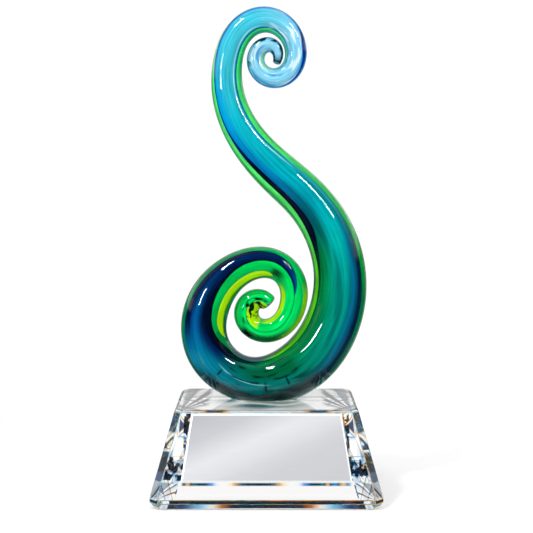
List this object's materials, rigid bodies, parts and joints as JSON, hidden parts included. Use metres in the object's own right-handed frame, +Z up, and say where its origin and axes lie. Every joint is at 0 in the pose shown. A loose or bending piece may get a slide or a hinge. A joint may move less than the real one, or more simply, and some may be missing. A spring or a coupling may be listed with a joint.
{
  "type": "art glass award",
  "caption": "Free-standing award: a layered glass rod curled into a double scroll, bonded to a clear crystal base with a blank engraving plate on its sloping front.",
  "frame": {"origin": "middle of the base's underside, on the surface that it stands on", "axes": "+Z up, +X to the right seen from the front, -Y towards the viewer, out of the plate"},
  "size_m": [0.142, 0.096, 0.3061],
  "materials": {
    "optical_crystal": "cut and polished clear optical crystal",
    "satin_silver": "satin silver sheet with a bright bevelled border",
    "mounting_film": "thin clear double-sided film",
    "bonding_resin": "clear cured bonding resin",
    "clear_glass": "fire-polished clear soda glass",
    "teal_glass": "transparent teal glass",
    "blue_glass": "transparent sky blue glass",
    "green_glass": "transparent emerald green glass",
    "cobalt_glass": "dark cobalt glass",
    "lime_glass": "bright lime glass"
  },
  "bodies": {
    "root": {"crystal_base": "optical_crystal", "engraving_plate": "satin_silver", "plate_film": "mounting_film", "foot_bond": "bonding_resin", "clear_casing": "clear_glass", "glass_core": "teal_glass", "blue_veil": "blue_glass", "green_veil": "green_glass", "cobalt_streak": "cobalt_glass", "lime_streak": "lime_glass"}
  },
  "joints": []
}
